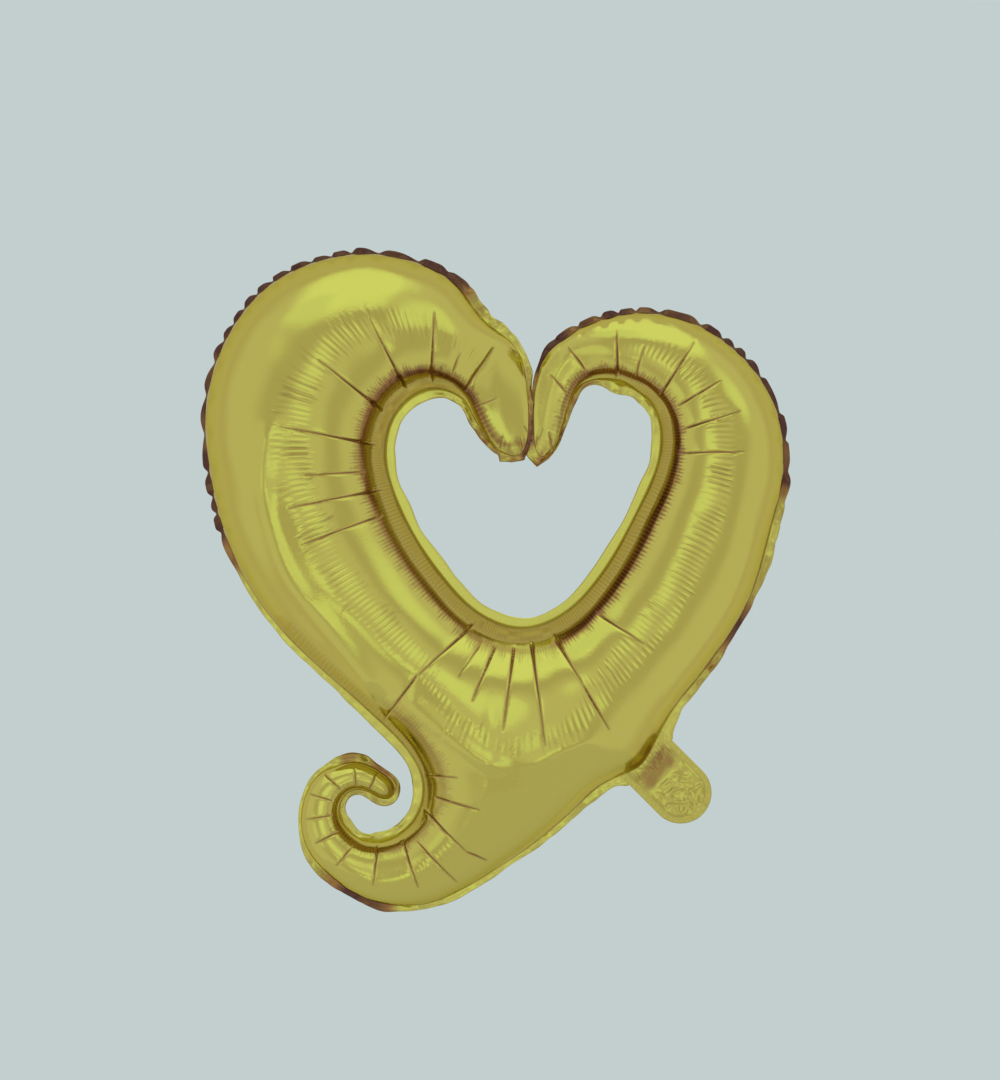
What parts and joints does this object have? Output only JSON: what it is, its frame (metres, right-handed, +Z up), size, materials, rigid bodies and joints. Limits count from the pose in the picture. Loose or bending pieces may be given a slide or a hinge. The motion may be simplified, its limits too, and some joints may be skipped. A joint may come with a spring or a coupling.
{
  "type": "heart-shaped foil balloon",
  "caption": "Inflated gold foil balloon: a fat tube bent into an open heart whose ends meet in the cleft, with a curled hook at the bottom and a flat, folding filling neck.",
  "frame": {"origin": "on the welded edge at the top, directly above the centre of gravity, where a thread through the edge hangs the balloon upright", "axes": "+X to the right seen from the front, +Y to the back, +Z up; the weld lies in the plane Y = 0"},
  "size_m": [0.4403, 0.1326, 0.4944],
  "materials": {
    "gold_film": "glossy gold metallised plastic film, creased",
    "gold_weld": "two gold films heat-sealed together, ruffled",
    "clear_film": "thin clear plastic film"
  },
  "bodies": {
    "balloon": {"front_foil": "gold_film", "back_foil": "gold_film", "edge_weld": "gold_weld", "valve_front_inner": "clear_film", "valve_back_inner": "clear_film"},
    "neck": {"neck_front_foil": "gold_film", "neck_back_foil": "gold_film", "valve_front_outer": "clear_film", "valve_back_outer": "clear_film", "neck_weld_lower": "gold_weld", "neck_weld_upper": "gold_weld"}
  },
  "joints": [
    {"name": "neck_fold", "type": "hinge", "parent": "balloon", "child": "neck", "pos_m": [0.13853, 0, -0.35303], "axis": [0.7071, 0, 0.7071], "range_deg": [-90, 90], "stiffness_Nm_per_rad": 0.001}
  ]
}
